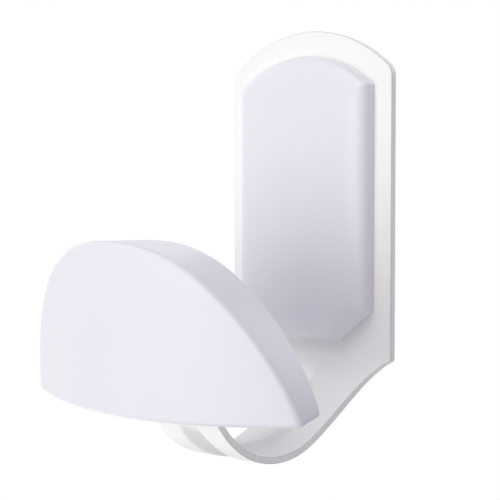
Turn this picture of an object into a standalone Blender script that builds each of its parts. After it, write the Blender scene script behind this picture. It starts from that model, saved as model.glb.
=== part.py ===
"""Wall coat hook: a stamped steel strap, a pull-off screw cover and a hollow plastic front cap.

Metres and degrees. X points to the right, Y into the wall and Z up. The origin lies in the wall plane, on the
back of the plate, halfway up its straight sides.
"""
import math

import bmesh
import bpy
import numpy as np
from mathutils import Vector

CLEARANCE = 0.0003

# Stamped strap: plate, sweep down to the strip, round bend, and the tongue that enters the cap
SHEET_T = 0.0016
PLATE_W = 0.0506
PLATE_SIDE_H = 0.0663
DOME_R = 0.0382
SHOULDER_R = 0.0035
STRAP_W = 0.021
SWEEP_L = 0.024
BEND_R = 0.0225
TONGUE_LEAN = 25.0
TONGUE_CORNER_R = 0.003
TONGUE_END_ROOM = 0.002

# Rib pressed into the bend: a groove outside, a ridge inside
RIB_W = 0.0074
RIB_FLAT_W = 0.0026
RIB_DEPTH = 0.0022
RIB_START = 0.002
RIB_RUN = 0.009

# Countersunk wall-screw holes
WALL_HOLE_D = 0.005
WALL_SINK_D = 0.0078
WALL_HOLE_PITCH = 0.038

# Screw cover and the four pegs that hold it in the plate
COVER_SIDE_MARGIN = 0.0052
COVER_TOP_MARGIN = 0.006
COVER_FOOT_MARGIN = 0.0038
COVER_CHAMFER_W = 0.0091
COVER_CHAMFER_H = 0.0072
COVER_H = 0.0043
COVER_EDGE_W = 0.0048
COVER_EDGE_DROP = 0.0028
COVER_WALL = 0.0015
COVER_RIM_W = 0.0024
PEG_D = 0.004
PEG_SHORTFALL = 0.0004
PEG_SIDE_MARGIN = 0.006
PEG_PITCH = 0.046

# Front cap: half-moon outline, bulged front, flatter back
CAP_W = 0.0844
CAP_H = 0.0384
CAP_SIDE_POWER = 2.37
CAP_TOP_POWER = 1.31
CAP_FRONT_BULGE = 0.0106
CAP_FRONT_LEAN = 7.4
CAP_BACK_INSET = 0.0004
CAP_BACK_BULGE = 0.005
CAP_BACK_LEAN = 4.0
CAP_DEPTH = 0.0117
CAP_BACK_RISE = 0.0028
CAP_STANDOFF = 0.0049
CAP_WALL = 0.0022
CAP_FRONT_EDGE_R = 0.0007
CAP_BACK_EDGE_R = 0.0004
CAP_BACK_T = 0.002

# Screws from the tongue into the cap's bosses
CAP_SCREW_D = 0.0028
CAP_SCREW_HEAD_D = 0.005
CAP_SCREW_POINT = 0.0012
CAP_SCREW_SPREAD = 0.012
CAP_SCREW_END_MARGIN = 0.0034
CAP_BOSS_WALL = 0.0015
CAP_BOSS_FLOOR = 0.001
CAP_BOSS_ROOM = 0.002

# Fineness of the meshes
CURVE_STEP = 0.0016
SHARP_ANGLE = 32.0
FLAT_ANGLE = 0.0001
WELD_DISTANCE = 0.000001
ROUND_STEPS = 24
RIB_SLOPE_STEPS = 5
STRAP_SIDE_STEPS = 5
SHOULDER_STEPS = 4
EDGE_STEPS = 5
HALF_MOON_STEPS = 48
FOOT_STEPS = 16
FACE_SHARES = (0.2, 0.45, 0.7, 0.88, 1.0)
FACE_MIDDLE = 0.4
CORNER_INSET = 1.3

PLATE_HALF = PLATE_W / 2
STRAP_HALF = STRAP_W / 2
CORNER_Z = -PLATE_SIDE_H / 2
DOME_CENTRE_Z = CORNER_Z + PLATE_SIDE_H - math.sqrt(DOME_R ** 2 - PLATE_HALF ** 2)
LEAN = math.radians(TONGUE_LEAN)
FRONT_LEAN = math.radians(CAP_FRONT_LEAN)
BACK_LEAN = math.radians(CAP_BACK_LEAN)
BEND_TURN = math.pi - LEAN
BEND_L = BEND_R * BEND_TURN
BEND_END = Vector((0, -BEND_R * (1 - math.cos(BEND_TURN)), CORNER_Z - BEND_R * math.sin(BEND_TURN)))
TONGUE_UP = Vector((0, -math.sin(LEAN), math.cos(LEAN)))
TONGUE_REAR = Vector((0, math.cos(LEAN), math.sin(LEAN)))
CAP_PLACE = BEND_END + Vector((0, -CAP_STANDOFF, CAP_BACK_RISE))
CAP_BACK_HALF = CAP_W / 2 - CAP_BACK_INSET
CAP_BACK_H = (CAP_H * math.cos(FRONT_LEAN) - CAP_BACK_RISE) / math.cos(BACK_LEAN)
COVER_HALF = PLATE_HALF - COVER_SIDE_MARGIN
COVER_DOME_R = DOME_R - COVER_TOP_MARGIN
COVER_TOP_Z = DOME_CENTRE_Z + COVER_DOME_R
COVER_FOOT_Z = CORNER_Z + COVER_FOOT_MARGIN
COVER_BACK_Y = -SHEET_T - CLEARANCE


def clear_scene():
    for old in list(bpy.data.objects):
        bpy.data.objects.remove(old, do_unlink=True)


def surface_finish(name, color, roughness, metallic=0.0):
    made = bpy.data.materials.new(name)
    made.use_nodes = True
    shader = made.node_tree.nodes["Principled BSDF"]
    shader.inputs["Base Color"].default_value = (*color, 1.0)
    shader.inputs["Roughness"].default_value = roughness
    shader.inputs["Metallic"].default_value = metallic
    return made


def to_object(name, work, place=(0, 0, 0), axis=None):
    """Turns a bmesh into an object at this place, its own Z turned to the axis if one is given."""
    mesh = bpy.data.meshes.new(name)
    work.to_mesh(mesh)
    work.free()
    made = bpy.data.objects.new(name, mesh)
    made.location = place
    if axis is not None:
        made.rotation_euler = Vector(axis).to_track_quat("Z", "Y").to_euler()
    bpy.context.scene.collection.objects.link(made)
    return made


def weld(work):
    bmesh.ops.remove_doubles(work, verts=work.verts, dist=WELD_DISTANCE)
    bmesh.ops.recalc_face_normals(work, faces=work.faces)


def apply_modifiers(target):
    bpy.context.view_layer.update()
    shape = target.evaluated_get(bpy.context.evaluated_depsgraph_get())
    mesh = bpy.data.meshes.new_from_object(shape)
    target.modifiers.clear()
    target.data = mesh


def combine(target, tool, operation):
    """Cuts the tool out of the target, or joins it on, and removes the tool."""
    modifier = target.modifiers.new(operation, "BOOLEAN")
    modifier.operation = operation
    modifier.solver = "EXACT"
    modifier.object = tool
    apply_modifiers(target)
    bpy.data.objects.remove(tool, do_unlink=True)


def dress(target, look):
    target.data.materials.clear()
    target.data.materials.append(look)
    target.data.shade_smooth()
    target.data.set_sharp_from_angle(angle=math.radians(SHARP_ANGLE))


def turned(name, profile, place, axis):
    """A solid of revolution. The profile, (radius, distance along), runs from the axis out and back to it."""
    work = bmesh.new()
    points = [work.verts.new((radius, 0, along)) for radius, along in profile]
    edges = [work.edges.new(pair) for pair in zip(points, points[1:])]
    whole = 2 * math.pi
    bmesh.ops.spin(work, geom=points + edges, cent=(0, 0, 0), axis=(0, 0, 1), angle=whole, steps=ROUND_STEPS)
    weld(work)
    return to_object(name, work, place, axis)


def rod(name, diameter, start, end, place, axis):
    radius = diameter / 2
    return turned(name, [(0, start), (radius, start), (radius, end), (0, end)], place, axis)


def countersunk(name, hole_d, sink_d, place, axis):
    """A cutter through the sheet from the place on one face, with a 45 degree sink in the other face."""
    hole, sink = hole_d / 2, sink_d / 2
    through = 2 * SHEET_T
    profile = [(0, -SHEET_T), (hole, -SHEET_T), (hole, SHEET_T - (sink - hole)), (sink + SHEET_T, through)]
    return turned(name, profile + [(0, through)], place, axis)


def smooth_step(value):
    value = min(max(value, 0.0), 1.0)
    return value * value * (3 - 2 * value)


def front_wall_distance(point):
    """Distance forward along Y from a point to the inside of the cap's front wall at its middle."""
    lowest = CAP_PLACE + Vector((0, -CAP_DEPTH, -CAP_BACK_RISE))
    inside = lowest.y + CAP_WALL / math.cos(FRONT_LEAN) - (point.z - lowest.z) * math.tan(FRONT_LEAN)
    return point.y - inside


def tongue_length():
    """Up to the room under the cap's top wall, or until only the bosses' room is left to its front wall."""
    top = CAP_H * (1 - (STRAP_W / CAP_W) ** CAP_SIDE_POWER) ** (1 / CAP_TOP_POWER) * math.cos(FRONT_LEAN)
    to_top = (top - CAP_WALL - TONGUE_END_ROOM) / math.cos(LEAN)
    room = front_wall_distance(BEND_END) * math.cos(FRONT_LEAN) - CAP_BOSS_ROOM
    return min(to_top, room / math.sin(LEAN - FRONT_LEAN))


def sheet_point(s, x):
    """A point of the strap's outer face, s along the sheet below the plate's corners."""
    turn = min(max(s / BEND_R, 0.0), BEND_TURN)
    point = Vector((x, BEND_R * (math.cos(turn) - 1), CORNER_Z - BEND_R * math.sin(turn)))
    if s < 0:
        point.z -= s
    if s > BEND_L:
        point += (s - BEND_L) * TONGUE_UP
    return point


def dome_rows():
    """From the dome's top to the start of the straight sides, with a small shoulder arc between them."""
    shoulder_turn = math.acos((PLATE_HALF - SHOULDER_R) / (DOME_R - SHOULDER_R))
    shoulder_z = DOME_CENTRE_Z + (DOME_R - SHOULDER_R) * math.sin(shoulder_turn)
    dome_turn = math.pi / 2 - shoulder_turn
    steps = math.ceil(DOME_R * dome_turn / CURVE_STEP)
    rows = []
    for k in range(steps):
        turn = dome_turn * k / steps
        rows.append((CORNER_Z - DOME_CENTRE_Z - DOME_R * math.cos(turn), DOME_R * math.sin(turn)))
    for k in range(SHOULDER_STEPS + 1):
        turn = shoulder_turn * (1 - k / SHOULDER_STEPS)
        half = PLATE_HALF - SHOULDER_R * (1 - math.cos(turn))
        rows.append((CORNER_Z - shoulder_z - SHOULDER_R * math.sin(turn), half))
    return rows


def sweep_rows():
    """The arc from the plate's lower corner that runs into the strip's edge."""
    narrowing = PLATE_HALF - STRAP_HALF
    radius = (SWEEP_L ** 2 + narrowing ** 2) / (2 * narrowing)
    reach = math.atan2(SWEEP_L, radius - narrowing)
    steps = math.ceil(radius * reach / CURVE_STEP)
    turns = [reach * (1 - k / steps) for k in range(steps)]
    return [(SWEEP_L - radius * math.sin(turn), STRAP_HALF + radius * (1 - math.cos(turn))) for turn in turns]


def strap_rows():
    """The blank's outline from the dome's top to the tongue's end, as pairs of s and half-width."""
    rows = dome_rows() + sweep_rows()
    steps = math.ceil((BEND_L - SWEEP_L) / CURVE_STEP)
    rows += [(SWEEP_L + (BEND_L - SWEEP_L) * k / steps, STRAP_HALF) for k in range(steps + 1)]
    for turn in np.linspace(0, math.pi / 2, EDGE_STEPS + 1):
        half = STRAP_HALF - TONGUE_CORNER_R * (1 - math.cos(turn))
        rows.append((BEND_L + tongue_length() - TONGUE_CORNER_R * (1 - math.sin(turn)), half))
    return rows


def strap_columns(half):
    """Places across one half of the sheet: close together over the rib's slope, then spread to the edge."""
    slope = np.linspace(RIB_FLAT_W, RIB_W, RIB_SLOPE_STEPS + 1) / 2
    core = np.append(0, slope) * min(half / STRAP_HALF, 1.0)
    return [*core.tolist(), *np.linspace(core[-1], half, STRAP_SIDE_STEPS + 1)[1:].tolist()]


def press_rib(work):
    """Pushes the sheet towards the bend's centre, fully over the rib's flat, less on its sides and ends."""
    for vert in work.verts:
        out = Vector((0, vert.co.y + BEND_R, vert.co.z - CORNER_Z))
        s = BEND_R * math.atan2(-out.z, out.y)
        rise = smooth_step((s - RIB_START) / RIB_RUN) * smooth_step((BEND_L - RIB_START - s) / RIB_RUN)
        across = smooth_step((RIB_W - 2 * abs(vert.co.x)) / (RIB_W - RIB_FLAT_W))
        vert.co -= RIB_DEPTH * rise * across * out.normalized()


def build_strap(look):
    """Half of the outer face as a bent grid, mirrored, given the sheet's thickness, ribbed and pierced."""
    work = bmesh.new()
    rows = []
    for s, half in strap_rows():
        rows.append([work.verts.new(sheet_point(s, x)) for x in strap_columns(half)])
    for upper, lower in zip(rows, rows[1:]):
        for i in range(len(upper) - 1):
            work.faces.new((upper[i], upper[i + 1], lower[i + 1], lower[i]))
    bmesh.ops.remove_doubles(work, verts=work.verts, dist=WELD_DISTANCE)
    strap = to_object("hook_strap", work)
    mirror = strap.modifiers.new("other_half", "MIRROR")
    mirror.merge_threshold = WELD_DISTANCE
    sheet = strap.modifiers.new("sheet", "SOLIDIFY")
    sheet.thickness = SHEET_T
    sheet.use_even_offset = True
    apply_modifiers(strap)
    work = bmesh.new()
    work.from_mesh(strap.data)
    press_rib(work)
    bmesh.ops.dissolve_limit(work, angle_limit=FLAT_ANGLE, verts=work.verts, edges=work.edges)
    work.to_mesh(strap.data)
    work.free()

    for z in (-WALL_HOLE_PITCH / 2, WALL_HOLE_PITCH / 2):
        cut = countersunk("wall_hole", WALL_HOLE_D, WALL_SINK_D, (0, 0, z), (0, -1, 0))
        combine(strap, cut, "DIFFERENCE")
    for x, z in peg_places():
        cut = rod("peg_hole", PEG_D + 2 * CLEARANCE, -SHEET_T, 2 * SHEET_T, (x, 0, z), (0, -1, 0))
        combine(strap, cut, "DIFFERENCE")
    for seat in screw_seats():
        hole_d, sink_d = CAP_SCREW_D + 2 * CLEARANCE, CAP_SCREW_HEAD_D + 2 * CLEARANCE
        combine(strap, countersunk("tongue_hole", hole_d, sink_d, seat, TONGUE_REAR), "DIFFERENCE")
    dress(strap, look)


def peg_places():
    x = COVER_HALF - PEG_SIDE_MARGIN
    middle = (COVER_TOP_Z + COVER_FOOT_Z) / 2
    return [(side * x, middle + end * PEG_PITCH / 2) for side in (-1, 1) for end in (-1, 1)]


def screw_seats():
    """The points on the tongue's front face where the cap's screws pass, left then right."""
    s = BEND_L + tongue_length() - CAP_SCREW_END_MARGIN
    return [sheet_point(s, side * CAP_SCREW_SPREAD / 2) for side in (-1, 1)]


def cover_outline(inset):
    """Outline (x, z) drawn in by the inset: flat foot, chamfers, straight sides, top around the dome's centre."""
    half, radius = COVER_HALF - inset, COVER_DOME_R - inset
    chamfer = math.hypot(COVER_CHAMFER_W, COVER_CHAMFER_H)
    ankle = COVER_HALF - COVER_CHAMFER_W - inset * (chamfer - COVER_CHAMFER_W) / COVER_CHAMFER_H
    knee = (inset * chamfer + COVER_CHAMFER_H * (COVER_CHAMFER_W - inset)) / COVER_CHAMFER_W
    outline = [(ankle, COVER_FOOT_Z + inset), (half, COVER_FOOT_Z + knee)]
    steps = math.ceil(2 * COVER_DOME_R * math.asin(COVER_HALF / COVER_DOME_R) / CURVE_STEP)
    for share in np.linspace(1, -1, steps + 1):
        turn = share * math.asin(half / radius)
        outline.append((radius * math.sin(turn), DOME_CENTRE_Z + radius * math.cos(turn)))
    return outline + [(-x, z) for x, z in outline[1::-1]]


def cover_ring(inset, y):
    return np.array([(x, y, z) for x, z in cover_outline(inset)])


def build_cover(look):
    """Front face, elliptical edge, sides and the hollow behind, lofted as one skin, with pegs joined on."""
    pull = bpy.data.objects.new("cover_pull", None)
    pull.location = (0, COVER_BACK_Y, 0)
    bpy.context.scene.collection.objects.link(pull)
    rings = []
    for turn in np.linspace(0, math.pi / 2, EDGE_STEPS + 1):
        drop = COVER_EDGE_DROP * (1 - math.cos(turn))
        rings.append(cover_ring(COVER_EDGE_W * (1 - math.sin(turn)), drop - COVER_H))
    rings += [cover_ring(0, 0), cover_ring(COVER_RIM_W, 0), cover_ring(COVER_RIM_W, COVER_WALL - COVER_H)]
    cover = loft("back_cover", (0, 0, 0), rings)
    cover.parent = pull
    for x, z in peg_places():
        root = COVER_BACK_Y - COVER_H + COVER_WALL / 2
        combine(cover, rod("peg", PEG_D, 0, -PEG_SHORTFALL - root, (x, root, z), (0, 1, 0)), "UNION")
    dress(cover, look)


def half_moon(half, low, height):
    """Ring (x, h): from the right corner over the top to the left corner, then back along the foot."""
    turn = np.linspace(0, math.pi, HALF_MOON_STEPS + 1)
    x = half * np.sign(np.cos(turn)) * np.abs(np.cos(turn)) ** (2 / CAP_SIDE_POWER)
    h = low + height * np.abs(np.sin(turn)) ** (2 / CAP_TOP_POWER)
    foot = np.linspace(-half, half, FOOT_STEPS + 1)[1:-1]
    return np.concatenate([x, foot]), np.concatenate([h, np.full(len(foot), low)])


def face_ring(inside, share, half, height, bulge, lean, y, z):
    """A half-moon ring on a leaning face whose ends curve back.

    The ring lies this far inside the face's outline. The share then shrinks it towards the face's middle.
    """
    x, h = half_moon(half - CORNER_INSET * inside, inside, height - 2 * inside)
    x = x * share
    h = height * FACE_MIDDLE * (1 - share) + h * share
    back = bulge * (x / half) ** 2
    across = y - h * math.sin(lean) + back * math.cos(lean)
    return np.stack([x, across, z + h * math.cos(lean) + back * math.sin(lean)], axis=1)


def front_ring(inside, share=1.0):
    return face_ring(inside, share, CAP_W / 2, CAP_H, CAP_FRONT_BULGE, FRONT_LEAN, -CAP_DEPTH, -CAP_BACK_RISE)


def back_ring(inside, share=1.0):
    return face_ring(inside, share, CAP_BACK_HALF, CAP_BACK_H, CAP_BACK_BULGE, BACK_LEAN, 0.0, 0.0)


def towards(start, end, distance):
    way = end - start
    return start + way * (distance / np.linalg.norm(way, axis=1, keepdims=True))


def loft(name, place, rings):
    """A closed solid through rings of equal count, its two end rings closed by fans."""
    work = bmesh.new()
    loops = [[work.verts.new(point) for point in ring] for ring in rings]
    for first, second in zip(loops, loops[1:]):
        for i in range(len(first)):
            after = (i + 1) % len(first)
            work.faces.new((first[i], first[after], second[after], second[i]))
    for ring, loop in ((rings[0], loops[0]), (rings[-1], loops[-1])):
        middle = work.verts.new(ring.mean(axis=0))
        for i in range(len(loop)):
            work.faces.new((middle, loop[i], loop[(i + 1) % len(loop)]))
    weld(work)
    return to_object(name, work, place)


def boss_reach(seat):
    """Distance from the tongue, square to it, to the inside of the cap's front wall."""
    return front_wall_distance(seat) * math.cos(FRONT_LEAN) / math.cos(LEAN - FRONT_LEAN)


def boss(seat):
    """A blind-bored post from inside the cap's front wall up to the tongue."""
    bore = CAP_SCREW_D / 2 + CLEARANCE
    outer, reach = bore + CAP_BOSS_WALL, boss_reach(seat)
    floor = CAP_BOSS_FLOOR - reach
    root = -reach - CAP_WALL / 2
    profile = [(0, root), (outer, root), (outer, -CLEARANCE), (bore, -CLEARANCE), (bore, floor), (0, floor)]
    return turned("boss", profile, seat, TONGUE_REAR)


def build_cap_shell(look):
    """Front face, rounded edges, rim and the hollow behind, lofted as one skin, with bosses joined on."""
    rings = [front_ring(CAP_FRONT_EDGE_R, share) for share in FACE_SHARES]
    for turn in np.linspace(math.pi / 2, 0, EDGE_STEPS + 1)[1:]:
        inside = CAP_FRONT_EDGE_R * (1 - math.cos(turn))
        rings.append(towards(front_ring(inside), back_ring(inside), CAP_FRONT_EDGE_R * (1 - math.sin(turn))))
    for turn in np.linspace(0, math.pi / 2, EDGE_STEPS):
        inside = CAP_BACK_EDGE_R * (1 - math.cos(turn))
        rings.append(towards(back_ring(inside), front_ring(inside), CAP_BACK_EDGE_R * (1 - math.sin(turn))))
    rings.append(back_ring(CAP_WALL))
    for share in FACE_SHARES[::-1]:
        rings.append(towards(front_ring(CAP_WALL, share), back_ring(CAP_WALL, share), CAP_WALL))
    shell = loft("cap_shell", CAP_PLACE, rings)
    for seat in screw_seats():
        combine(shell, boss(seat), "UNION")
    dress(shell, look)


def build_cap_back(look):
    """The plate that closes the cap from behind, with a slot that follows the tongue through it."""
    inside = CAP_WALL + CLEARANCE
    rings = [back_ring(inside, share) for share in FACE_SHARES]
    for share in FACE_SHARES[::-1]:
        rings.append(towards(back_ring(inside, share), front_ring(inside, share), CAP_BACK_T))
    plate = loft("cap_back", CAP_PLACE, rings)
    work = bmesh.new()
    bmesh.ops.create_cube(work, size=1.0)
    size = (STRAP_W + 2 * CLEARANCE, SHEET_T + 2 * CLEARANCE, tongue_length())
    bmesh.ops.scale(work, vec=size, verts=work.verts)
    middle = BEND_END + TONGUE_UP * tongue_length() / 2 + TONGUE_REAR * SHEET_T / 2
    combine(plate, to_object("slot", work, middle, TONGUE_UP), "DIFFERENCE")
    dress(plate, look)


def build_cap_screws(look):
    """Two alike screws, sunk in the tongue's rear face and pointing into the bosses."""
    left, right = screw_seats()
    head, shank = CAP_SCREW_HEAD_D / 2, CAP_SCREW_D / 2
    point = CAP_BOSS_FLOOR + CLEARANCE - boss_reach(left)
    profile = [(0, point), (shank, point + CAP_SCREW_POINT), (shank, SHEET_T - (head - shank))]
    profile += [(head, SHEET_T), (0, SHEET_T)]
    first = turned("cap_screw_left", profile, left, TONGUE_REAR)
    dress(first, look)
    second = first.copy()
    second.name = "cap_screw_right"
    second.location = right
    bpy.context.scene.collection.objects.link(second)


clear_scene()
cap_color = (0.82, 0.81, 0.86)
build_strap(surface_finish("strap_paint", (0.88, 0.87, 0.86), 0.42))
build_cover(surface_finish("cover_plastic", cap_color, 0.40))
build_cap_shell(surface_finish("cap_plastic", cap_color, 0.40))
build_cap_back(surface_finish("cap_back_plastic", cap_color, 0.48))
build_cap_screws(surface_finish("screw_zinc", (0.62, 0.63, 0.65), 0.35, 1.0))
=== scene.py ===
import math

import bmesh
import bpy
import numpy as np
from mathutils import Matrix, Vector


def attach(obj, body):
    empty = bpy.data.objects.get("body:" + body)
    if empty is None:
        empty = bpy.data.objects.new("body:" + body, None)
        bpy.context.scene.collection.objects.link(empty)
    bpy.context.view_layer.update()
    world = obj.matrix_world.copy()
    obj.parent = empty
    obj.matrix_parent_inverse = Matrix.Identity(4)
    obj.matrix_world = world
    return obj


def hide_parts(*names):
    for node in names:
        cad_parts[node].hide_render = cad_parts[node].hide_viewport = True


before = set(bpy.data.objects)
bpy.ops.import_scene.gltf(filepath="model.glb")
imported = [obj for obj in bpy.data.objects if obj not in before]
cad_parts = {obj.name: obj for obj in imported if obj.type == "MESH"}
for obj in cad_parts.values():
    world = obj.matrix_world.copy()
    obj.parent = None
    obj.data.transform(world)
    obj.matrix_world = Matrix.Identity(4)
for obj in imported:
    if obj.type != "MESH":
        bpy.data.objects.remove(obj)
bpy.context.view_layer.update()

# Wall coat hook in metres: X points right, Y into the wall and Z up, from the wall behind the plate
CLEARANCE = 0.0003

# Powder-coated steel strap, s being the distance down the sheet from the plate's lower corners. The skin is
# how far the outer face lies inside the solid's
SHEET_T = 0.0016
SHEET_EDGE_R = 0.0003
SHEET_SKIN = 0.00001
PLATE_W = 0.0506
PLATE_SIDE_H = 0.0663
PLATE_CORNER_R = 0.0009
DOME_R = 0.0382
SHOULDER_R = 0.0035
STRAP_W = 0.021
SWEEP_L = 0.024
BEND_R = 0.0225
TONGUE_LEAN = math.radians(25.0)
TONGUE_END_ROOM = 0.002
TONGUE_CORNER_R = 0.003
RIB_W = 0.0074
RIB_FLAT_W = 0.0026
RIB_DEPTH = 0.0022
RIB_START = 0.002
RIB_RUN = 0.009
WALL_HOLE_D = 0.005
WALL_SINK_D = 0.0078
WALL_HOLE_PITCH = 0.038

# Pull-off cover over the wall screws
COVER_SIDE_MARGIN = 0.0052
COVER_TOP_MARGIN = 0.006
COVER_FOOT_MARGIN = 0.0038
COVER_CHAMFER_W = 0.0091
COVER_CHAMFER_H = 0.0072
COVER_H = 0.0043
COVER_EDGE_W = 0.0058
COVER_EDGE_DROP = 0.0028
COVER_CREASE = 0.0004
COVER_WALL = 0.0015
COVER_RIM_W = 0.0024
COVER_RIM_R = 0.00012
COVER_GAP = 0.00005
PEG_D = 0.004
PEG_TIP_R = 0.0005
PEG_SHORTFALL = 0.0004
PEG_SIDE_MARGIN = 0.006
PEG_PITCH = 0.046

# Hollow half-moon cap and the plate that closes it. Behind, the cap's foot is higher than in front by the
# rise, and its top lower by the drop
CAP_W = 0.0844
CAP_H = 0.0384
CAP_SIDE_POWER = 2.37
CAP_TOP_POWER = 1.31
CAP_CORNER = 0.0012
CAP_FRONT_BULGE = 0.0106
CAP_FRONT_LEAN = math.radians(7.4)
CAP_BACK_INSET = 0.0004
CAP_BACK_BULGE = 0.005
CAP_BACK_LEAN = math.radians(4.0)
CAP_DEPTH = 0.0117
CAP_BACK_RISE = 0.0028
CAP_BACK_DROP = 0.00025
CAP_STANDOFF = 0.0049
CAP_WALL = 0.0022
CAP_FRONT_EDGE_R = 0.0010
CAP_BACK_EDGE_R = 0.0004
CAP_BACK_T = 0.002
CAP_BACK_ROUND = 0.0003
CAP_MIDDLE = 0.4
CAP_CORNER_INSET = 1.3
CAP_SCREW_D = 0.0028
CAP_SCREW_HEAD_D = 0.005
CAP_SCREW_SPREAD = 0.012
CAP_SCREW_END_MARGIN = 0.0034
CAP_BOSS_WALL = 0.0015
CAP_BOSS_FLOOR = 0.001
CAP_BOSS_ROOM = 0.002
CAP_SLOT_CORNER = 0.0005

# Fineness of the surfaces
CURVE_STEP = 0.0008
TURN_STEP = 0.25
EDGE_STEPS = 6
CREASE_STEPS = 4
ROUND_STEPS = 48
RIB_COLUMNS = 12
SIDE_SHARES = np.array([0.15, 0.3, 0.45, 0.6, 0.75, 0.88, 0.97, 1.0])
COVER_SHARES = (0.0, 0.3, 0.6, 0.85, 0.97, 1.0)
CAP_SHARES = (0.0, 0.08, 0.16, 0.25, 0.34, 0.43, 0.52, 0.61, 0.7, 0.78, 0.86, 0.92, 0.97, 1.0)
DOME_STEPS = 40
MOON_STEPS = 90
FOOT_STEPS = 24
ARC_SAMPLES = 4000
WELD_DISTANCE = 0.000001
SHARP_ANGLE = math.radians(32.0)

PLATE_HALF = PLATE_W / 2
STRAP_HALF = STRAP_W / 2
CORNER_Z = -PLATE_SIDE_H / 2
DOME_CENTRE_Z = CORNER_Z + PLATE_SIDE_H - math.sqrt(DOME_R ** 2 - PLATE_HALF ** 2)
BEND_TURN = math.pi - TONGUE_LEAN
BEND_L = BEND_R * BEND_TURN
BEND_END = np.array([0, BEND_R * (math.cos(BEND_TURN) - 1), CORNER_Z - BEND_R * math.sin(BEND_TURN)])
TONGUE_UP = np.array([0, -math.sin(TONGUE_LEAN), math.cos(TONGUE_LEAN)])
TONGUE_REAR = np.array([0, math.cos(TONGUE_LEAN), math.sin(TONGUE_LEAN)])
TO_WALL = np.array([0, 1, 0])
CAP_PLACE = BEND_END + np.array([0, -CAP_STANDOFF, CAP_BACK_RISE])
CAP_BACK_HALF = CAP_W / 2 - CAP_BACK_INSET
CAP_BACK_H = (CAP_H * math.cos(CAP_FRONT_LEAN) - CAP_BACK_RISE - CAP_BACK_DROP) / math.cos(CAP_BACK_LEAN)
CAP_LOWEST = CAP_PLACE + np.array([0, -CAP_DEPTH, -CAP_BACK_RISE])
COVER_HALF = PLATE_HALF - COVER_SIDE_MARGIN
COVER_DOME_R = DOME_R - COVER_TOP_MARGIN
COVER_TOP_Z = DOME_CENTRE_Z + COVER_DOME_R
COVER_FOOT_Z = CORNER_Z + COVER_FOOT_MARGIN
COVER_BACK_Y = -SHEET_T - COVER_GAP
COVER_FRONT_Y = -SHEET_T - CLEARANCE - COVER_H


def front_wall_distance(point):
    """Distance forward along Y from a point to the inside of the cap's front wall at its middle."""
    inside = CAP_LOWEST[1] + CAP_WALL / math.cos(CAP_FRONT_LEAN)
    return point[1] - inside + (point[2] - CAP_LOWEST[2]) * math.tan(CAP_FRONT_LEAN)


def tongue_length():
    """Up to the room under the cap's top wall, or until only the bosses' room is left to its front wall."""
    share = (1 - (STRAP_W / CAP_W) ** CAP_SIDE_POWER) ** (1 / CAP_TOP_POWER)
    top = CAP_H * share * math.cos(CAP_FRONT_LEAN)
    to_top = (top - CAP_WALL - TONGUE_END_ROOM) / math.cos(TONGUE_LEAN)
    room = front_wall_distance(BEND_END) * math.cos(CAP_FRONT_LEAN) - CAP_BOSS_ROOM
    return min(to_top, room / math.sin(TONGUE_LEAN - CAP_FRONT_LEAN))


TONGUE_L = tongue_length()
STRAP_END = BEND_L + TONGUE_L


def screw_seats():
    """The points on the tongue's front face where the cap's screws pass."""
    middle = BEND_END + (TONGUE_L - CAP_SCREW_END_MARGIN) * TONGUE_UP
    return [middle + np.array([side * CAP_SCREW_SPREAD / 2, 0, 0]) for side in (-1, 1)]


def smooth_step(value):
    """Eases from 0 to 1: 3 v^2 - 2 v^3, v being the value held between 0 and 1."""
    value = np.clip(value, 0.0, 1.0)
    return value * value * (3 - 2 * value)


def stretch(start, end, step):
    """Even steps from start to just short of end."""
    count = max(math.ceil(abs(end - start) / step), 1)
    return np.linspace(start, end, count, endpoint=False)


def quarter(radius, steps, drop=None):
    """Stations of a quarter round from face to side: how far inside the outline, and how far below the face.

    With a drop of its own the round is a quarter ellipse, the radius being its reach in from the outline.
    """
    turn = np.linspace(0, math.pi / 2, steps + 1)
    return radius * (1 - np.sin(turn)), (drop or radius) * (1 - np.cos(turn))


def mirrored_loop(right):
    """A closed outline from its right half, which runs from the top middle down to the bottom middle."""
    return np.concatenate([right, right[-2:0:-1] * np.array([-1, 1])])


def corner_curve(before, corner, after):
    """Quadratic curve from one stretch into the next, pulled towards the corner between them."""
    q = np.linspace(0, 1, CREASE_STEPS + 1)[:, None]
    return (1 - q) ** 2 * before + 2 * q * (1 - q) * corner + q ** 2 * after


def surface(name, rings):
    """A piece from closed rings of equal count, an array (rings, points, 3), with quads between neighbours.

    The end rings close onto themselves: points that fall together there are welded.
    """
    count, around = rings.shape[:2]
    ids = np.arange(count * around).reshape(count, around)
    after = np.roll(ids, -1, axis=1)
    quads = np.stack([ids[:-1], after[:-1], after[1:], ids[1:]], axis=-1).reshape(-1, 4)
    mesh = bpy.data.meshes.new(name)
    mesh.from_pydata(rings.reshape(-1, 3), [], quads)
    work = bmesh.new()
    work.from_mesh(mesh)
    bmesh.ops.remove_doubles(work, verts=work.verts, dist=WELD_DISTANCE)
    bmesh.ops.recalc_face_normals(work, faces=work.faces)
    work.to_mesh(mesh)
    work.free()
    piece = bpy.data.objects.new(name, mesh)
    bpy.context.scene.collection.objects.link(piece)
    return piece


def turned(name, profile, place, axis):
    """A solid of revolution: the profile (radius, distance along the axis) carried round the axis."""
    radius, along = np.array(profile).T
    turn = stretch(0, 2 * math.pi, 2 * math.pi / ROUND_STEPS)
    side = np.array([1.0, 0, 0])
    other = np.cross(axis, side)
    spoke = np.cos(turn)[:, None] * side + np.sin(turn)[:, None] * other
    return surface(name, place + radius[:, None, None] * spoke + along[:, None, None] * np.asarray(axis))


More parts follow.
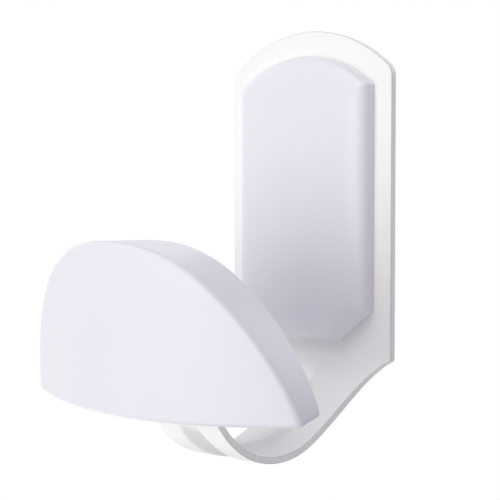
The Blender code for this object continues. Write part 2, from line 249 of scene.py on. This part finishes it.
def combine(piece, tool, operation):
    """Cuts the tool out of the piece, or joins it on, and removes the tool."""
    modifier = piece.modifiers.new(operation, "BOOLEAN")
    modifier.operation = operation
    modifier.solver = "EXACT"
    modifier.object = tool
    bpy.context.view_layer.update()
    made = bpy.data.meshes.new_from_object(piece.evaluated_get(bpy.context.evaluated_depsgraph_get()))
    piece.modifiers.clear()
    piece.data = made
    bpy.data.objects.remove(tool, do_unlink=True)


def seat(piece, body, node, look):
    """Shades the finished piece, gives it its finish and puts it in the place of its solid."""
    piece.data.shade_smooth()
    piece.data.set_sharp_from_angle(angle=SHARP_ANGLE)
    piece.data.materials.clear()
    piece.data.materials.append(look)
    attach(piece, body)
    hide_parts(node)


def strap_outline():
    """Right half of the blank's edge, from dome to tongue: points (s, x) and their outward normals.

    Every stretch is a line or an arc. A normal's turn is 0 up the sheet and a right angle at the side. An
    arc's point is its centre plus radius times normal. The sweep curves inwards, so its radius is negative.
    """
    side = math.pi / 2

    def normals(turn):
        return np.stack([-np.cos(turn), np.sin(turn)], axis=1)

    def arc(s, x, radius, start, end):
        normal = normals(stretch(start, end, min(CURVE_STEP / abs(radius), TURN_STEP)))
        return np.array([s, x]) + radius * normal, normal

    def line(start, end, turn):
        start, end = np.array(start), np.array(end)
        share = stretch(0, 1, CURVE_STEP / np.linalg.norm(end - start))[:, None]
        return start + share * (end - start), normals(np.full(len(share), turn))

    dome_s = CORNER_Z - DOME_CENTRE_Z
    dome_turn = math.asin((PLATE_HALF - SHOULDER_R) / (DOME_R - SHOULDER_R))
    shoulder_s = dome_s - (DOME_R - SHOULDER_R) * math.cos(dome_turn)
    narrowing = PLATE_HALF - STRAP_HALF
    sweep_r = (SWEEP_L ** 2 + narrowing ** 2) / (2 * narrowing)
    corner_gap = sweep_r + PLATE_CORNER_R
    corner_run = math.sqrt(corner_gap ** 2 - (corner_gap - narrowing) ** 2)
    corner_turn = side + math.asin(corner_run / corner_gap)
    corner_s = SWEEP_L - corner_run
    tongue_s, tongue_x = STRAP_END - TONGUE_CORNER_R, STRAP_HALF - TONGUE_CORNER_R
    stretches = [
        arc(dome_s, 0, DOME_R, 0, dome_turn),
        arc(shoulder_s, PLATE_HALF - SHOULDER_R, SHOULDER_R, dome_turn, side),
        line((shoulder_s, PLATE_HALF), (corner_s, PLATE_HALF), side),
        arc(corner_s, PLATE_HALF - PLATE_CORNER_R, PLATE_CORNER_R, side, corner_turn),
        arc(SWEEP_L, STRAP_HALF + sweep_r, -sweep_r, corner_turn, side),
        line((SWEEP_L, STRAP_HALF), (tongue_s, STRAP_HALF), side),
        arc(tongue_s, tongue_x, TONGUE_CORNER_R, side, math.pi),
        line((STRAP_END, tongue_x), (STRAP_END, 0), math.pi),
        (np.array([[STRAP_END, 0]]), np.array([[1.0, 0]])),
    ]
    return [np.concatenate(parts) for parts in zip(*stretches)]


def bent_sheet(s, x, depth):
    """Bends the flat sheet: the plate stays upright, the strip turns and the tongue runs straight on.

    The turn is s over the outer radius. A point lies at the outer radius less its depth. The rib adds to the
    depth: fully along its flat, and easing off at its sides and its two ends.
    """
    turn = np.clip(s / BEND_R, 0, BEND_TURN)
    ends = smooth_step((s - RIB_START) / RIB_RUN) * smooth_step((BEND_L - RIB_START - s) / RIB_RUN)
    across = smooth_step((RIB_W - 2 * np.abs(x)) / (RIB_W - RIB_FLAT_W))
    radius = BEND_R - depth - RIB_DEPTH * ends * across
    straight = s - BEND_R * turn
    y = radius * np.cos(turn) - straight * np.sin(turn) - BEND_R
    z = CORNER_Z - radius * np.sin(turn) - straight * np.cos(turn)
    return np.stack([x, y, z], axis=-1)


def strap_rings():
    """Rows from the strap's middle line to its edge, round the edge and back behind, for both halves.

    A row is level, except in the dome and at the tongue's end. There the rows fan out from one point of the
    middle line.
    """
    edge, normal = strap_outline()
    inset, below = quarter(SHEET_EDGE_R, EDGE_STEPS)
    rim = edge - SHEET_EDGE_R * normal
    fan_top = CORNER_Z - DOME_CENTRE_Z - PLATE_HALF / 2
    fan_end = STRAP_END - STRAP_HALF / 2
    middle = np.stack([np.clip(edge[:, 0], fan_top, fan_end), np.zeros(len(edge))], axis=1)
    way = rim - middle
    reach = np.linalg.norm(way, axis=1, keepdims=True)
    over_rib = np.linspace(0, RIB_W / 2, RIB_COLUMNS) * np.minimum(reach / STRAP_HALF, 1)
    beside = over_rib[:, -1:] + (reach - over_rib[:, -1:]) * SIDE_SHARES
    share = np.concatenate([over_rib, beside], axis=1) / reach
    face = middle[:, None] + share[..., None] * way[:, None]
    round_edge = edge[:, None] - np.append(inset[1:], inset[:0:-1])[:, None] * normal[:, None]
    flat = np.concatenate([face, round_edge, face[:, ::-1]], axis=1)
    front, back = np.full(face.shape[1], SHEET_T), np.full(face.shape[1], SHEET_SKIN)
    depth = np.concatenate([front, SHEET_T - below[1:], below[:0:-1], back])
    right = bent_sheet(flat[..., 0], flat[..., 1], depth)
    left = right[::-1] * np.array([-1, 1, 1])
    return np.concatenate([right, left]).transpose(1, 0, 2)


def countersunk(name, hole_d, sink_d, place, axis):
    """A cutter through the sheet from a place on its outer face, with a 45 degree sink in the inner face."""
    hole, sink = hole_d / 2, sink_d / 2
    through = 2 * SHEET_T
    profile = [(0, -SHEET_T), (hole, -SHEET_T), (hole, SHEET_T - (sink - hole)), (sink + SHEET_T, through)]
    return turned(name, profile + [(0, through)], place, axis)


def peg_places():
    """The four pegs' places (x, z): in from the cover's sides, half the pitch above and below its middle."""
    x = COVER_HALF - PEG_SIDE_MARGIN
    middle = (COVER_TOP_Z + COVER_FOOT_Z) / 2
    return [(side * x, middle + end * PEG_PITCH / 2) for side in (-1, 1) for end in (-1, 1)]


def mark_painted_edge_shade(strap):
    """Marks where painted shade darkens the sheet's rounded edges.

    The mark is 4 u^2 (1 - u^2), u being the share of the vertex normal that points straight out of the
    sheet: 0 on the faces and the cut edge, and 1 halfway round between them. The rib's slopes get none.
    """
    count = len(strap.data.vertices)
    place, normal = np.empty(3 * count), np.empty(3 * count)
    strap.data.vertices.foreach_get("co", place)
    strap.data.vertex_normals.foreach_get("vector", normal)
    x, y, z = place.reshape(-1, 3).T
    quarter_turn = math.pi / 2
    angle = np.mod(np.arctan2(CORNER_Z - z, y + BEND_R) + quarter_turn, 4 * quarter_turn) - quarter_turn
    turn = np.clip(angle, 0, BEND_TURN)
    outward = normal[1::3] * np.cos(turn) - normal[2::3] * np.sin(turn)
    # Painted shade: darkest halfway round each rounded edge of the sheet
    edge_shade = 4 * outward ** 2 * (1 - outward ** 2)
    edge_shade[(turn > 0) & (2 * np.abs(x) < RIB_W)] = 0
    strap.data.attributes.new(PAINTED_EDGE_SHADE, "FLOAT", "POINT").data.foreach_set("value", edge_shade)


def make_strap(look):
    """The bent sheet with its edges marked for painted shade, and its wall, peg and tongue holes cut."""
    strap = surface("strap_sheet", strap_rings())
    mark_painted_edge_shade(strap)
    for z in (-WALL_HOLE_PITCH / 2, WALL_HOLE_PITCH / 2):
        cut = countersunk("wall_hole", WALL_HOLE_D, WALL_SINK_D, np.array([0, 0, z]), -TO_WALL)
        combine(strap, cut, "DIFFERENCE")
    hole = PEG_D / 2 + CLEARANCE
    for x, z in peg_places():
        profile = [(0, -SHEET_T), (hole, -SHEET_T), (hole, 2 * SHEET_T), (0, 2 * SHEET_T)]
        combine(strap, turned("peg_hole", profile, np.array([x, 0, z]), -TO_WALL), "DIFFERENCE")
    for place in screw_seats():
        hole_d, sink_d = CAP_SCREW_D + 2 * CLEARANCE, CAP_SCREW_HEAD_D + 2 * CLEARANCE
        combine(strap, countersunk("tongue_hole", hole_d, sink_d, place, TONGUE_REAR), "DIFFERENCE")
    seat(strap, "hook", "hook_strap", look)


def cover_outline(inset):
    """The cover's outline (x, z) drawn in by the inset: dome arc, sides, chamfers and foot, eased between."""
    half, radius = COVER_HALF - inset, COVER_DOME_R - inset
    dome_turn = math.asin(half / radius)
    chamfer_l = math.hypot(COVER_CHAMFER_W, COVER_CHAMFER_H)
    knee_rise = (inset * chamfer_l + COVER_CHAMFER_H * (COVER_CHAMFER_W - inset)) / COVER_CHAMFER_W
    ankle_in = COVER_CHAMFER_W + inset * (chamfer_l - COVER_CHAMFER_W) / COVER_CHAMFER_H
    shoulder = np.array([half, DOME_CENTRE_Z + radius * math.cos(dome_turn)])
    knee = np.array([half, COVER_FOOT_Z + knee_rise])
    ankle = np.array([COVER_HALF - ankle_in, COVER_FOOT_Z + inset])
    middle = np.array([0, COVER_FOOT_Z + inset])
    turn = np.linspace(0, dome_turn - COVER_CREASE / radius, DOME_STEPS)
    parts = [np.stack([radius * np.sin(turn), DOME_CENTRE_Z + radius * np.cos(turn)], axis=1)]
    for corner, further in ((shoulder, knee), (knee, ankle), (ankle, middle)):
        way = COVER_CREASE * (further - corner) / np.linalg.norm(further - corner)
        parts.append(corner_curve(parts[-1][-1], corner, corner + way)[1:])
        parts.append((further - way)[None])
    parts[-1] = middle[None]
    return mirrored_loop(np.concatenate(parts))


def cover_ring(inset, y, share=1.0):
    """The outline at depth y, shrunk by the share towards the cover's middle."""
    outline = cover_outline(inset)
    centre = np.array([0, (COVER_TOP_Z + COVER_FOOT_Z) / 2])
    x, z = (centre + share * (outline - centre)).T
    return np.stack([x, np.full(len(x), y), z], axis=1)


def cover_rings():
    """The outline carried along the wall's section: face, elliptical edge, side, rim and hollow back."""
    rings = [cover_ring(COVER_EDGE_W, COVER_FRONT_Y, share) for share in COVER_SHARES]
    for inset, below in zip(*(part[1:] for part in quarter(COVER_EDGE_W, 3 * EDGE_STEPS, COVER_EDGE_DROP))):
        rings.append(cover_ring(inset, COVER_FRONT_Y + below))
    inset, below = quarter(COVER_RIM_R, CREASE_STEPS)
    for k in range(CREASE_STEPS, -1, -1):
        rings.append(cover_ring(inset[k], COVER_BACK_Y - below[k]))
    for k in range(CREASE_STEPS + 1):
        rings.append(cover_ring(COVER_RIM_W - inset[k], COVER_BACK_Y - below[k]))
    floor = COVER_FRONT_Y + COVER_WALL
    for k in range(CREASE_STEPS, -1, -1):
        rings.append(cover_ring(COVER_RIM_W + inset[k], floor + below[k]))
    rings += [cover_ring(COVER_RIM_W + COVER_RIM_R, floor, share) for share in COVER_SHARES[-2::-1]]
    return np.stack(rings)


def make_cover(look):
    """The hollow shell with its four round-tipped pegs joined on."""
    cover = surface("cover_shell", cover_rings())
    root = COVER_FRONT_Y + COVER_WALL / 2
    end = -PEG_SHORTFALL - root
    inset, below = quarter(PEG_TIP_R, EDGE_STEPS)
    tip = list(zip(PEG_D / 2 - inset[::-1], end - below[::-1]))
    for x, z in peg_places():
        peg = turned("peg", [(0, 0), (PEG_D / 2, 0), *tip, (0, end)], np.array([x, root, z]), TO_WALL)
        combine(cover, peg, "UNION")
    seat(cover, "cover", "back_cover", look)


def half_moon(half, low, height):
    """Right half of the cap's outline (x, h): from the top round the eased corner to the foot's middle.

    On the curve x is half * cos(turn) ** (2 / side power), and h is low + height * sin(turn) ** (2 / top
    power). The turns are chosen for even steps along the full-size outline.
    """
    def curve(turn, wide, base, tall):
        x = wide * np.abs(np.cos(turn)) ** (2 / CAP_SIDE_POWER)
        return np.stack([x, base + tall * np.abs(np.sin(turn)) ** (2 / CAP_TOP_POWER)], axis=1)

    fine = np.linspace(math.pi / 2, 0, ARC_SAMPLES)
    steps = np.linalg.norm(np.diff(curve(fine, CAP_W / 2, 0, CAP_H), axis=0), axis=1)
    run = np.append(0, np.cumsum(steps))
    turn = np.interp(np.linspace(0, run[-1] - CAP_CORNER, MOON_STEPS), run, fine)
    turn[0] = math.pi / 2
    moon = curve(turn, half, low, height)
    moon[0, 0] = 0
    eased = corner_curve(moon[-1], np.array([half, low]), np.array([half - CAP_CORNER, low]))[1:]
    foot = np.linspace(half - CAP_CORNER, 0, FOOT_STEPS)[1:]
    return np.concatenate([moon, eased, np.stack([foot, np.full(len(foot), low)], axis=1)])


def cap_ring(inside, share, half, height, bulge, lean, y, z):
    """A half-moon ring on a leaning face whose ends curve back by bulge times the square of x over half.

    The ring lies this far inside the face's outline. The share then shrinks it towards the face's middle.
    """
    right = half_moon(half - CAP_CORNER_INSET * inside, inside, height - 2 * inside)
    x, h = mirrored_loop(right).T
    x = x * share
    h = height * CAP_MIDDLE * (1 - share) + h * share
    back = bulge * (x / half) ** 2
    across = y - h * math.sin(lean) + back * math.cos(lean)
    return CAP_PLACE + np.stack([x, across, z + h * math.cos(lean) + back * math.sin(lean)], axis=1)


def front_ring(inside, share=1.0):
    """A ring on the cap's front face."""
    size = (CAP_W / 2, CAP_H, CAP_FRONT_BULGE, CAP_FRONT_LEAN)
    return cap_ring(inside, share, *size, -CAP_DEPTH, -CAP_BACK_RISE)


def back_ring(inside, share=1.0):
    """A ring on the flatter, more upright face that the cap's rim runs back to."""
    return cap_ring(inside, share, CAP_BACK_HALF, CAP_BACK_H, CAP_BACK_BULGE, CAP_BACK_LEAN, 0.0, 0.0)


def towards(start, end, distance):
    """Each start point moved this distance along the line to its end point."""
    way = end - start
    return start + way * (distance / np.linalg.norm(way, axis=1, keepdims=True))


def cap_body_rings():
    """Front face, round front edge, rim, round back edge, and the hollow that the rear plate closes."""
    rings = [front_ring(CAP_FRONT_EDGE_R, share) for share in CAP_SHARES]
    for inside, below in zip(*(part[1:] for part in quarter(CAP_FRONT_EDGE_R, 2 * EDGE_STEPS))):
        rings.append(towards(front_ring(inside), back_ring(inside), below))
    inside, below = quarter(CAP_BACK_EDGE_R, EDGE_STEPS)
    for k in range(EDGE_STEPS, -1, -1):
        rings.append(towards(back_ring(inside[k]), front_ring(inside[k]), below[k]))
    rings.append(back_ring(CAP_WALL))
    for share in CAP_SHARES[::-1]:
        rings.append(towards(front_ring(CAP_WALL, share), back_ring(CAP_WALL, share), CAP_WALL))
    return np.stack(rings)


def cap_rear_rings():
    """The closing plate: its outer face, a small round, the gap wall and its inner face."""
    outline = CAP_WALL + CLEARANCE
    rings = [back_ring(outline + CAP_BACK_ROUND, share) for share in CAP_SHARES]
    for inside, below in zip(*(part[1:] for part in quarter(CAP_BACK_ROUND, CREASE_STEPS))):
        rings.append(towards(back_ring(outline + inside), front_ring(outline + inside), below))
    for share in CAP_SHARES[::-1]:
        rings.append(towards(back_ring(outline, share), front_ring(outline, share), CAP_BACK_T))
    return np.stack(rings)


def screw_boss(place):
    """A blind-bored post from inside the cap's front wall up to the tongue."""
    bore = CAP_SCREW_D / 2 + CLEARANCE
    outer = bore + CAP_BOSS_WALL
    reach = front_wall_distance(place) * math.cos(CAP_FRONT_LEAN) / math.cos(TONGUE_LEAN - CAP_FRONT_LEAN)
    floor = CAP_BOSS_FLOOR - reach
    root = -reach - CAP_WALL / 2
    profile = [(0, root), (outer, root), (outer, -CLEARANCE), (bore, -CLEARANCE), (bore, floor), (0, floor)]
    return turned("screw_boss", profile, place, TONGUE_REAR)


def tongue_slot():
    """A cutter that follows the tongue: a rectangle with eased corners carried along it."""
    half, thick = STRAP_HALF + CLEARANCE, SHEET_T / 2 + CLEARANCE
    corners = np.array([[half, thick], [-half, thick], [-half, -thick], [half, -thick]])
    eases = []
    for before, corner, after in zip(np.roll(corners, 1, axis=0), corners, np.roll(corners, -1, axis=0)):
        start, end = (corner + CAP_SLOT_CORNER * np.sign(other - corner) for other in (before, after))
        eases.append(corner_curve(start, corner, end))
    x, rear = np.concatenate(eases).T
    ring = BEND_END + (rear + SHEET_T / 2)[:, None] * TONGUE_REAR + x[:, None] * np.array([1, 0, 0])
    ends = [ring, ring + TONGUE_L * TONGUE_UP]
    poles = [np.broadcast_to(end.mean(axis=0), end.shape) for end in ends]
    return surface("tongue_slot", np.stack([poles[0], *ends, poles[1]]))


def make_cap(body_look, rear_look):
    """The hollow cap with its screw bosses joined on, and the rear plate with the tongue's slot cut."""
    body = surface("cap_body", cap_body_rings())
    for place in screw_seats():
        combine(body, screw_boss(place), "UNION")
    seat(body, "hook", "cap_shell", body_look)
    rear = surface("cap_rear_plate", cap_rear_rings())
    combine(rear, tongue_slot(), "DIFFERENCE")
    seat(rear, "hook", "cap_back", rear_look)


# Finishes. A drift is (amount, clouds per metre), a gloss (roughness, amount, clouds per metre), a grain
# (fine waves per metre, broad waves per metre, share of the broad ones) and a bump (strength, height)
STEEL_TONE = (0.950, 0.947, 0.925)
STEEL_DRIFT = (0.010, 45.0)
STEEL_GLOSS = (0.40, 0.05, 160.0)
STEEL_GRAIN = (3600.0, 800.0, 1.6)
STEEL_BUMP = (0.20, 0.00003)
# Painted shade along the strap's rounded edges: the attribute that marks it, and how much it darkens the coat
PAINTED_EDGE_SHADE = "painted_edge_shade"
PAINTED_EDGE_SHADE_STRENGTH = 0.35
PLASTIC_TONE = (0.825, 0.815, 0.87)
REAR_TONE = (0.80, 0.79, 0.845)
PLASTIC_DRIFT = (0.012, 30.0)
SATIN_GLOSS = (0.38, 0.05, 120.0)
MATT_GLOSS = (0.55, 0.05, 120.0)
PLASTIC_GRAIN = (7000.0, 1500.0, 0.5)
PLASTIC_BUMP = (0.18, 0.00002)
ZINC_TONE = (0.62, 0.63, 0.65)
ZINC_DRIFT = (0.10, 400.0)
ZINC_GLOSS = (0.34, 0.12, 700.0)
ZINC_GRAIN = (9000.0, 2500.0, 0.8)
ZINC_BUMP = (0.30, 0.00002)
PAPER_TONE = (0.90, 0.90, 0.90)


def number(tree, operation, *values):
    """A Math node on numbers or sockets."""
    node = tree.nodes.new("ShaderNodeMath")
    node.operation = operation
    for socket, value in zip(node.inputs, values):
        if isinstance(value, (int, float)):
            socket.default_value = value
        else:
            tree.links.new(value, socket)
    return node.outputs[0]


def cloud(tree, scale, detail):
    """Noise over the piece's own place, from about -1 to 1."""
    noise = tree.nodes.new("ShaderNodeTexNoise")
    noise.inputs["Detail"].default_value = detail
    tree.links.new(tree.nodes.new("ShaderNodeTexCoord").outputs["Object"], noise.inputs["Vector"])
    tree.links.new(scale, noise.inputs["Scale"])
    return number(tree, "MULTIPLY_ADD", noise.outputs["Fac"], 2.0, -1.0)


def finish_group(name, inputs, output, kind):
    """A new shader group with named inputs and one output: its tree, its given sockets and its output."""
    tree = bpy.data.node_groups.new(name, "ShaderNodeTree")
    for label, socket_kind in inputs.items():
        tree.interface.new_socket(label, in_out="INPUT", socket_type=socket_kind)
    tree.interface.new_socket(output, in_out="OUTPUT", socket_type=kind)
    return tree, tree.nodes.new("NodeGroupInput").outputs, tree.nodes.new("NodeGroupOutput").inputs[output]


def tone_drift_group():
    """The tone times one plus the amount times a slow cloud."""
    inputs = {"Tone": "NodeSocketColor", "Amount": "NodeSocketFloat", "Scale": "NodeSocketFloat"}
    tree, given, out = finish_group("tone_drift", inputs, "Color", "NodeSocketColor")
    shade = number(tree, "MULTIPLY_ADD", cloud(tree, given["Scale"], detail=3.0), given["Amount"], 1.0)
    tinted = tree.nodes.new("ShaderNodeVectorMath")
    tinted.operation = "SCALE"
    tree.links.new(given["Tone"], tinted.inputs[0])
    tree.links.new(shade, tinted.inputs["Scale"])
    tree.links.new(tinted.outputs["Vector"], out)
    return tree


def gloss_drift_group():
    """The roughness plus the amount times a cloud."""
    inputs = dict.fromkeys(("Roughness", "Amount", "Scale"), "NodeSocketFloat")
    tree, given, out = finish_group("gloss_drift", inputs, "Roughness", "NodeSocketFloat")
    clouds = cloud(tree, given["Scale"], detail=4.0)
    tree.links.new(number(tree, "MULTIPLY_ADD", clouds, given["Amount"], given["Roughness"]), out)
    return tree


def grain_group():
    """Height of a fine grain plus a share of broad, orange-peel waves."""
    inputs = dict.fromkeys(("Fine Scale", "Broad Scale", "Broad Share"), "NodeSocketFloat")
    tree, given, out = finish_group("grain", inputs, "Height", "NodeSocketFloat")
    fine = cloud(tree, given["Fine Scale"], detail=2.0)
    broad = cloud(tree, given["Broad Scale"], detail=1.0)
    tree.links.new(number(tree, "MULTIPLY_ADD", broad, given["Broad Share"], fine), out)
    return tree


TONE_DRIFT = tone_drift_group()
GLOSS_DRIFT = gloss_drift_group()
GRAIN = grain_group()


def placed(tree, group, values):
    """A group in a material, with that material's own values; gives its output."""
    node = tree.nodes.new("ShaderNodeGroup")
    node.node_tree = group
    for label, value in values.items():
        node.inputs[label].default_value = value
    return node.outputs[0]


def surface_finish(name, tone, drift, gloss, grain, bump, metallic=0.0):
    """A finish whose tone and gloss drift, with a grain as bump, each by its group's values."""
    made = bpy.data.materials.new(name)
    made.use_nodes = True
    tree = made.node_tree
    shader = tree.nodes["Principled BSDF"]
    shader.inputs["Metallic"].default_value = metallic
    color = placed(tree, TONE_DRIFT, {"Tone": (*tone, 1.0), "Amount": drift[0], "Scale": drift[1]})
    rough = placed(tree, GLOSS_DRIFT, {"Roughness": gloss[0], "Amount": gloss[1], "Scale": gloss[2]})
    height = placed(tree, GRAIN, {"Fine Scale": grain[0], "Broad Scale": grain[1], "Broad Share": grain[2]})
    raised = tree.nodes.new("ShaderNodeBump")
    raised.inputs["Strength"].default_value = bump[0]
    raised.inputs["Distance"].default_value = bump[1]
    tree.links.new(height, raised.inputs["Height"])
    tree.links.new(color, shader.inputs["Base Color"])
    tree.links.new(rough, shader.inputs["Roughness"])
    tree.links.new(raised.outputs["Normal"], shader.inputs["Normal"])
    return made


def powder_coat():
    """White powder coat: uneven gloss over soft orange peel, and painted shade on the sheet's rounded edges.

    The tone is scaled by one less the painted shade's share of the edge mark.
    """
    made = surface_finish("white_powder_coat", STEEL_TONE, STEEL_DRIFT, STEEL_GLOSS, STEEL_GRAIN, STEEL_BUMP)
    tree = made.node_tree
    base = tree.nodes["Principled BSDF"].inputs["Base Color"]
    # Painted shade: the edge mark darkens the coat's tone along the sheet's rounded edges
    edge_shade = tree.nodes.new("ShaderNodeAttribute")
    edge_shade.attribute_name = PAINTED_EDGE_SHADE
    left = number(tree, "MULTIPLY_ADD", edge_shade.outputs["Fac"], -PAINTED_EDGE_SHADE_STRENGTH, 1.0)
    edge_shaded = tree.nodes.new("ShaderNodeVectorMath")
    edge_shaded.operation = "SCALE"
    tree.links.new(base.links[0].from_socket, edge_shaded.inputs[0])
    tree.links.new(left, edge_shaded.inputs["Scale"])
    tree.links.new(edge_shaded.outputs["Vector"], base)
    return made


def moulded_plastic(name, tone, gloss):
    """Moulded plastic: a fine spark-eroded grain, and tone and gloss that drift a little."""
    return surface_finish(name, tone, PLASTIC_DRIFT, gloss, PLASTIC_GRAIN, PLASTIC_BUMP)


def zinc_plate():
    """Zinc-plated screws with a cloudy, slightly worn gloss."""
    return surface_finish("zinc_plate", ZINC_TONE, ZINC_DRIFT, ZINC_GLOSS, ZINC_GRAIN, ZINC_BUMP,
                          metallic=1.0)


def finish_screws(look):
    """The cap's screws keep their solids and get their finish."""
    for screw in ("cap_screw_left", "cap_screw_right"):
        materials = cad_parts[screw].data.materials
        materials.clear()
        materials.append(look)


# Camera: the photograph's view, from the front right and a little above
CAMERA_AIM = Vector((-0.01154, -0.00984, -0.00885))
CAMERA_DISTANCE = 0.3875
CAMERA_AZIMUTH = math.radians(45.0)
CAMERA_ELEVATION = math.radians(2.94)
CAMERA_LENS = 117.04
CAMERA_SENSOR = 36.0
CAMERA_NEAR = 0.01


def from_centre(azimuth, elevation):
    """Unit vector towards a viewpoint: azimuth 0 is straight in front, and positive to the right."""
    level = math.cos(elevation)
    return Vector((math.sin(azimuth) * level, -math.cos(azimuth) * level, math.sin(elevation)))


def make_camera():
    """A camera that looks at its aim from the distance along the view's direction."""
    back = from_centre(CAMERA_AZIMUTH, CAMERA_ELEVATION)
    data = bpy.data.cameras.new("photo_camera")
    data.lens = CAMERA_LENS
    data.sensor_width = CAMERA_SENSOR
    data.clip_start = CAMERA_NEAR
    camera = bpy.data.objects.new("photo_camera", data)
    camera.location = CAMERA_AIM + CAMERA_DISTANCE * back
    camera.rotation_euler = (-back).to_track_quat("-Z", "Y").to_euler()
    bpy.context.scene.collection.objects.link(camera)
    bpy.context.scene.camera = camera


# Studio: a pale paper floor under the hook, soft light all round, and softboxes with slight tints
FLOOR_Z = -0.30
FLOOR_R = 0.20
FLOOR_FADE_R = 0.13
FLOOR_WHITE = 0.75
ROOM_LIGHT = (0.270, 0.258, 0.306)
WARM = (1.02, 1.03, 0.945)
COOL = (0.93, 1.0, 1.03)
PLAIN = (1.0, 1.0, 1.0)
ROSY = (1.05, 0.96, 0.98)
LAMP_DISTANCE = 1.2
LAMP_SIZE = 0.7


def seen_directly(tree):
    """1 for rays from the camera, or by way of gloss or glass, and 0 for light that bounces."""
    path = tree.nodes.new("ShaderNodeLightPath").outputs
    seen = number(tree, "MAXIMUM", path["Is Camera Ray"], path["Is Glossy Ray"])
    return number(tree, "MAXIMUM", seen, path["Is Transmission Ray"])


def floor_paper():
    """Pale paper that bounces light, seen nearly white with the shadow left in, and white at its rim."""
    made = bpy.data.materials.new("floor_paper")
    made.use_nodes = True
    tree = made.node_tree
    paper = tree.nodes["Principled BSDF"]
    paper.inputs["Base Color"].default_value = (*PAPER_TONE, 1.0)
    paper.inputs["Roughness"].default_value = 1.0
    paper.inputs["Specular IOR Level"].default_value = 0.0
    white = tree.nodes.new("ShaderNodeEmission")
    length = tree.nodes.new("ShaderNodeVectorMath")
    length.operation = "LENGTH"
    flat = tree.nodes.new("ShaderNodeVectorMath")
    flat.operation = "MULTIPLY"
    flat.inputs[1].default_value = (1, 1, 0)
    tree.links.new(tree.nodes.new("ShaderNodeTexCoord").outputs["Object"], flat.inputs[0])
    tree.links.new(flat.outputs["Vector"], length.inputs[0])
    fade = tree.nodes.new("ShaderNodeMapRange")
    fade.interpolation_type = "SMOOTHSTEP"
    fade.inputs["From Min"].default_value = FLOOR_FADE_R
    fade.inputs["From Max"].default_value = FLOOR_R
    fade.inputs["To Min"].default_value = FLOOR_WHITE
    tree.links.new(length.outputs["Value"], fade.inputs["Value"])
    mix = tree.nodes.new("ShaderNodeMixShader")
    tree.links.new(number(tree, "MULTIPLY", seen_directly(tree), fade.outputs["Result"]), mix.inputs["Fac"])
    tree.links.new(paper.outputs["BSDF"], mix.inputs[1])
    tree.links.new(white.outputs["Emission"], mix.inputs[2])
    tree.links.new(mix.outputs["Shader"], tree.nodes["Material Output"].inputs["Surface"])
    return made


def make_floor():
    """A round sheet of paper: circles from its middle out to its rim."""
    turn = stretch(0, 2 * math.pi, 2 * math.pi / ROUND_STEPS)
    circle = np.stack([np.cos(turn), np.sin(turn), np.zeros(ROUND_STEPS)], axis=1)
    radius = np.linspace(0, FLOOR_R, FOOT_STEPS)
    floor = surface("floor", radius[:, None, None] * circle + np.array([0, 0, FLOOR_Z]))
    floor.data.materials.append(floor_paper())


def make_room():
    """Even light all round, and plain white where it is seen."""
    world = bpy.data.worlds.new("studio")
    bpy.context.scene.world = world
    world.use_nodes = True
    tree = world.node_tree
    room = tree.nodes["Background"]
    room.inputs["Color"].default_value = (*ROOM_LIGHT, 1.0)
    white = tree.nodes.new("ShaderNodeBackground")
    white.inputs["Color"].default_value = (1, 1, 1, 1)
    mix = tree.nodes.new("ShaderNodeMixShader")
    tree.links.new(seen_directly(tree), mix.inputs["Fac"])
    tree.links.new(room.outputs["Background"], mix.inputs[1])
    tree.links.new(white.outputs["Background"], mix.inputs[2])
    tree.links.new(mix.outputs["Shader"], tree.nodes["World Output"].inputs["Surface"])


def softbox(name, azimuth, elevation, power, tint=PLAIN, distance=LAMP_DISTANCE, size=LAMP_SIZE):
    """A round soft lamp that looks at the hook from this direction, in degrees."""
    out = from_centre(math.radians(azimuth), math.radians(elevation))
    data = bpy.data.lights.new(name, "AREA")
    data.shape = "DISK"
    data.size = size
    data.energy = power
    data.color = tint
    lamp = bpy.data.objects.new(name, data)
    lamp.location = CAMERA_AIM + distance * out
    lamp.rotation_euler = (-out).to_track_quat("-Z", "Y").to_euler()
    bpy.context.scene.collection.objects.link(lamp)


def make_lamps():
    """A broad softbox in front, and weaker ones under, over, beside and behind the hook."""
    softbox("front_softbox", -5, -2, power=6.3, tint=WARM, size=1.05)
    softbox("low_left_softbox", -32, -25, power=1.6, tint=COOL, size=0.9)
    softbox("under_softbox", 0, -60, power=2.3)
    softbox("under_left_softbox", -90, -40, power=1.6)
    softbox("under_right_softbox", 90, -40, power=1.3, tint=ROSY)
    softbox("top_softbox", 5, 55, power=1.36, distance=0.6, size=0.45)
    softbox("left_softbox", -95, 15, power=0.9)
    softbox("right_softbox", 85, 55, power=0.11, tint=ROSY, distance=0.45, size=0.3)
    softbox("rear_right_softbox", 150, 30, power=2.9)
    softbox("rear_left_softbox", -150, 30, power=0.7)


make_strap(powder_coat())
make_cover(moulded_plastic("cover_satin", PLASTIC_TONE, SATIN_GLOSS))
cap_look = moulded_plastic("cap_satin", PLASTIC_TONE, SATIN_GLOSS)
make_cap(cap_look, moulded_plastic("cap_rear_matt", REAR_TONE, MATT_GLOSS))
finish_screws(zinc_plate())
make_camera()
make_floor()
make_room()
make_lamps()
bpy.context.scene.view_settings.view_transform = "Standard"
